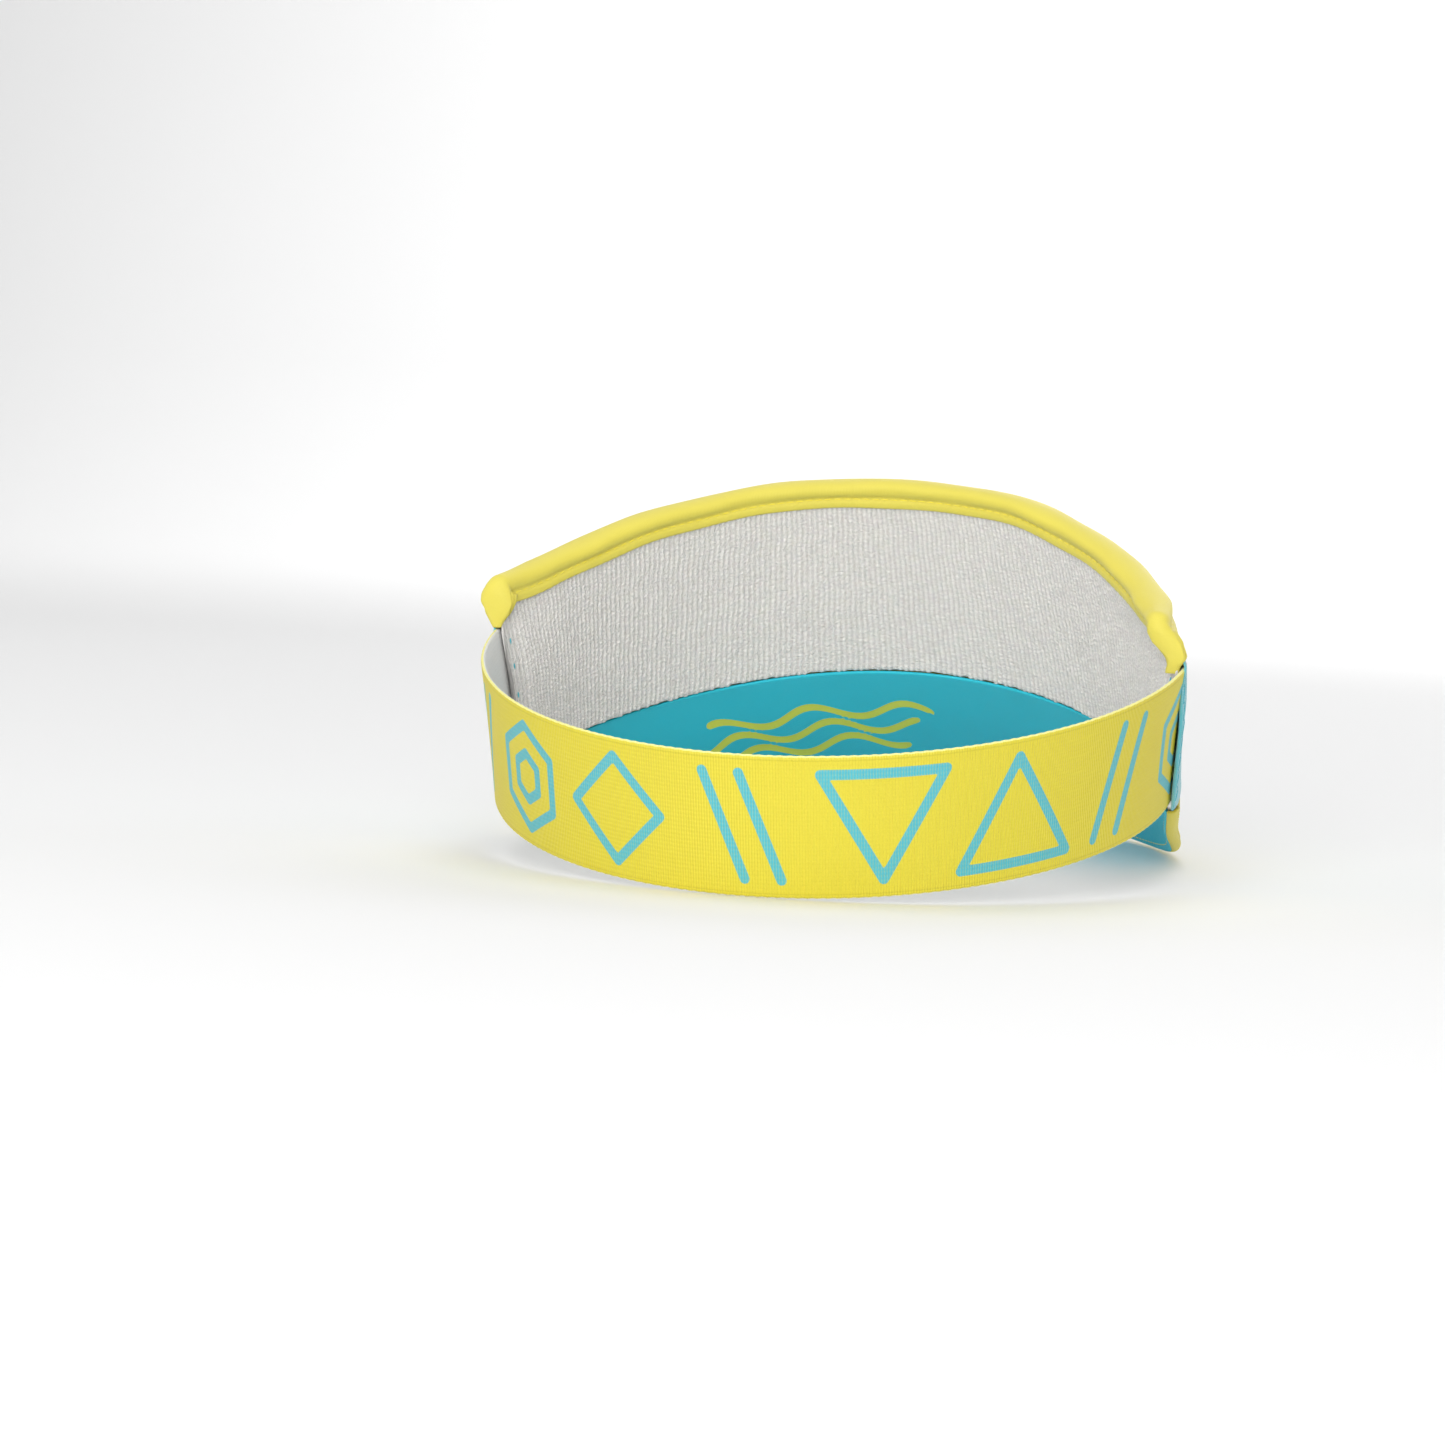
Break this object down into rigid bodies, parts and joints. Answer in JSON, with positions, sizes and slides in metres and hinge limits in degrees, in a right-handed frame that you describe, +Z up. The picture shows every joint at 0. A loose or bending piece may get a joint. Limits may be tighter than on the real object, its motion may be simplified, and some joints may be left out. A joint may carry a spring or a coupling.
{
  "type": "sports sun visor",
  "caption": "Open-top running visor with a curved bill, a padded terry-lined crown, bound top edge and a wide printed elastic back band.",
  "frame": {"origin": "middle of the footprint, on the surface the visor stands on", "axes": "+Z up, +Y towards the bill, +X to the wearer's right"},
  "size_m": [0.1772, 0.2378, 0.0951],
  "materials": {
    "crown_fabric": "matt woven polyester, teal",
    "interlining": "white foam interlining, hidden",
    "terry": "light grey looped terry",
    "binding_tape": "smooth yellow stretch tape, slight sheen",
    "woven_elastic": "ribbed woven elastic, yellow outside with teal print, white inside",
    "bill_board": "polyethylene board, hidden",
    "bill_top_fabric": "smooth woven polyester, yellow",
    "bill_under_fabric": "smooth woven polyester, teal, with an olive-yellow print",
    "yellow_thread": "spun polyester thread",
    "white_thread": "spun polyester thread, hidden",
    "teal_thread": "spun polyester thread"
  },
  "bodies": {
    "crown": {"crown_shell": "crown_fabric", "crown_interlining": "interlining", "terry_sweatband": "terry", "top_binding": "binding_tape", "binding_thread": "yellow_thread", "bill_seam_thread": "white_thread", "left_seam_thread": "teal_thread", "right_seam_thread": "teal_thread"},
    "band_ends": {"elastic_end_left": "woven_elastic", "elastic_end_right": "woven_elastic"},
    "back_band": {"elastic_band": "woven_elastic"},
    "bill": {"bill_board": "bill_board", "bill_top_cover": "bill_top_fabric", "bill_under_cover": "bill_under_fabric", "bill_edge_thread": "yellow_thread"}
  },
  "joints": [
    {"name": "band_swing", "type": "hinge", "parent": "crown", "child": "band_ends", "pos_m": [0, -0.02419, 0.03789], "axis": [1, 0, 0], "range_deg": [-10, 10], "stiffness_Nm_per_rad": 1.5},
    {"name": "band_stretch", "type": "slide", "parent": "band_ends", "child": "back_band", "axis": [0, -0.9768, -0.2142], "range_m": [0, 0.025], "stiffness_N_per_m": 480},
    {"name": "bill_flex", "type": "hinge", "parent": "crown", "child": "bill", "pos_m": [0, 0.06087, 0.04682], "axis": [1, 0, 0], "range_deg": [0, 12], "stiffness_Nm_per_rad": 1}
  ]
}
